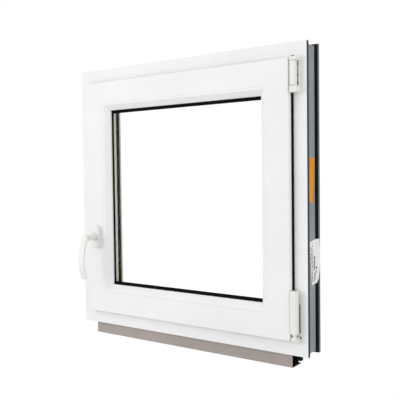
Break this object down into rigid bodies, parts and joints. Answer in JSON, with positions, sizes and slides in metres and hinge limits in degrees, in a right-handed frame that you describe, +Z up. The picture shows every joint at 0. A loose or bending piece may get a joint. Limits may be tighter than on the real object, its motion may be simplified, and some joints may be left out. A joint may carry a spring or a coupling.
{
  "type": "casement window",
  "caption": "Square tilt-and-turn casement window with a white plastic frame and sash, double glazing, bowed lever handle, capped side hinges and a sill profile.",
  "frame": {"origin": "middle of the sill profile's underside, half way through the frame's depth", "axes": "+X to the right seen from the room (the hinge side), -Y towards the room, +Z up"},
  "size_m": [0.7004, 0.158, 0.73],
  "materials": {
    "frame_pvc": "smooth white extruded plastic with a slate grey outer side",
    "sash_pvc": "smooth white extruded plastic with a slate grey exterior side",
    "bead_pvc": "smooth white extruded plastic",
    "sill_pvc": "taupe skin over a dark extruded core",
    "steel_section": "galvanised sheet steel",
    "hardware_steel": "silver zinc plating",
    "bearing_metal": "olive-grey passivated zinc casting",
    "screw_steel": "zinc-plated",
    "cover_plastic": "moulded warm white plastic",
    "handle_metal": "warm white powder coat",
    "gasket_rubber": "black extruded rubber",
    "glass": "clear float glass",
    "spacer_aluminium": "mill finish",
    "edge_sealant": "black sealant",
    "block_plastic": "moulded plastic",
    "cap_plastic": "moulded plastic",
    "label_film": "white printed film with blank bars",
    "sticker_film": "orange film"
  },
  "bodies": {
    "frame": {"frame_head": "frame_pvc", "frame_sill": "frame_pvc", "frame_jamb_hinge": "frame_pvc", "frame_jamb_handle": "frame_pvc", "frame_reinforcements": "steel_section", "frame_stop_gasket": "gasket_rubber", "drain_caps": "cap_plastic", "sill_profile": "sill_pvc", "frame_label": "label_film", "transport_sticker": "sticker_film", "striker_plates": "hardware_steel", "striker_screws": "screw_steel", "tilt_striker": "hardware_steel", "stay_bearing": "cover_plastic", "stay_bearing_screws": "screw_steel", "corner_bearing": "bearing_metal", "corner_bearing_screws": "screw_steel"},
    "corner_pin": {"corner_pivot_pin": "hardware_steel"},
    "sash": {"sash_top": "sash_pvc", "sash_bottom": "sash_pvc", "sash_stile_hinge": "sash_pvc", "sash_stile_handle": "sash_pvc", "sash_reinforcements": "steel_section", "bead_top": "bead_pvc", "bead_bottom": "bead_pvc", "bead_hinge": "bead_pvc", "bead_handle": "bead_pvc", "inner_pane": "glass", "outer_pane": "glass", "glass_spacer": "spacer_aluminium", "glass_edge_seal": "edge_sealant", "inner_glazing_gasket": "gasket_rubber", "outer_glazing_gasket": "gasket_rubber", "glazing_blocks": "block_plastic", "sash_overlap_gasket": "gasket_rubber", "sash_hinge_band": "hardware_steel", "sash_hinge_cover": "cover_plastic", "hinge_band_screws": "screw_steel", "gear_housing": "hardware_steel", "faceplates": "hardware_steel", "faceplate_screws": "screw_steel", "corner_drives": "hardware_steel", "handle_base": "cover_plastic", "rosette_cover": "cover_plastic", "handle_screws": "screw_steel"},
    "handle": {"handle_lever": "handle_metal", "handle_spindle": "hardware_steel", "drive_pinion": "hardware_steel"},
    "side_bar": {"side_drive_bar": "hardware_steel", "side_locking_cams": "hardware_steel"},
    "top_bar": {"top_drive_bar": "hardware_steel", "top_locking_cam": "hardware_steel"},
    "bottom_bar": {"bottom_drive_bar": "hardware_steel", "bottom_locking_cams": "hardware_steel"},
    "stay_pin": {"stay_pin": "hardware_steel"},
    "stay_arm": {"stay_arm": "hardware_steel", "stay_band_cover": "cover_plastic"}
  },
  "joints": [
    {"name": "sash_tilt", "type": "hinge", "parent": "frame", "child": "corner_pin", "pos_m": [0.324, -0.049, 0.07], "axis": [1, 0, 0], "range_deg": [0, 8]},
    {"name": "sash_turn", "type": "hinge", "parent": "corner_pin", "child": "sash", "pos_m": [0.324, -0.049, 0.11], "axis": [0, 0, 1], "range_deg": [0, 90]},
    {"name": "handle_turn", "type": "hinge", "parent": "sash", "child": "handle", "pos_m": [-0.27893, -0.053, 0.273], "axis": [0, -1, 0], "range_deg": [0, 180]},
    {"name": "side_bar_slide", "type": "slide", "parent": "sash", "child": "side_bar", "axis": [0, 0, -1], "range_m": [0, 0.0281]},
    {"name": "top_bar_slide", "type": "slide", "parent": "sash", "child": "top_bar", "axis": [-1, 0, 0], "range_m": [0, 0.0281]},
    {"name": "bottom_bar_slide", "type": "slide", "parent": "sash", "child": "bottom_bar", "axis": [1, 0, 0], "range_m": [0, 0.0281]},
    {"name": "stay_pin_turn", "type": "hinge", "parent": "frame", "child": "stay_pin", "pos_m": [0.324, -0.049, 0.655], "axis": [0, 0, 1], "range_deg": [0, 90.5]},
    {"name": "stay_arm_swing", "type": "hinge", "parent": "stay_pin", "child": "stay_arm", "pos_m": [0.324, -0.049, 0.655], "axis": [0, 0, 1], "range_deg": [0, 20]}
  ],
  "couplings": [
    {"joint": "side_bar_slide", "follows": "handle_turn", "m_per_rad": 0.0089127},
    {"joint": "top_bar_slide", "follows": "handle_turn", "m_per_rad": 0.0089127},
    {"joint": "bottom_bar_slide", "follows": "handle_turn", "m_per_rad": 0.0089127},
    {"joint": "stay_pin_turn", "follows": "sash_turn", "ratio": 1},
    {"joint": "stay_arm_swing", "follows": "sash_tilt", "ratio": 2.4075}
  ]
}
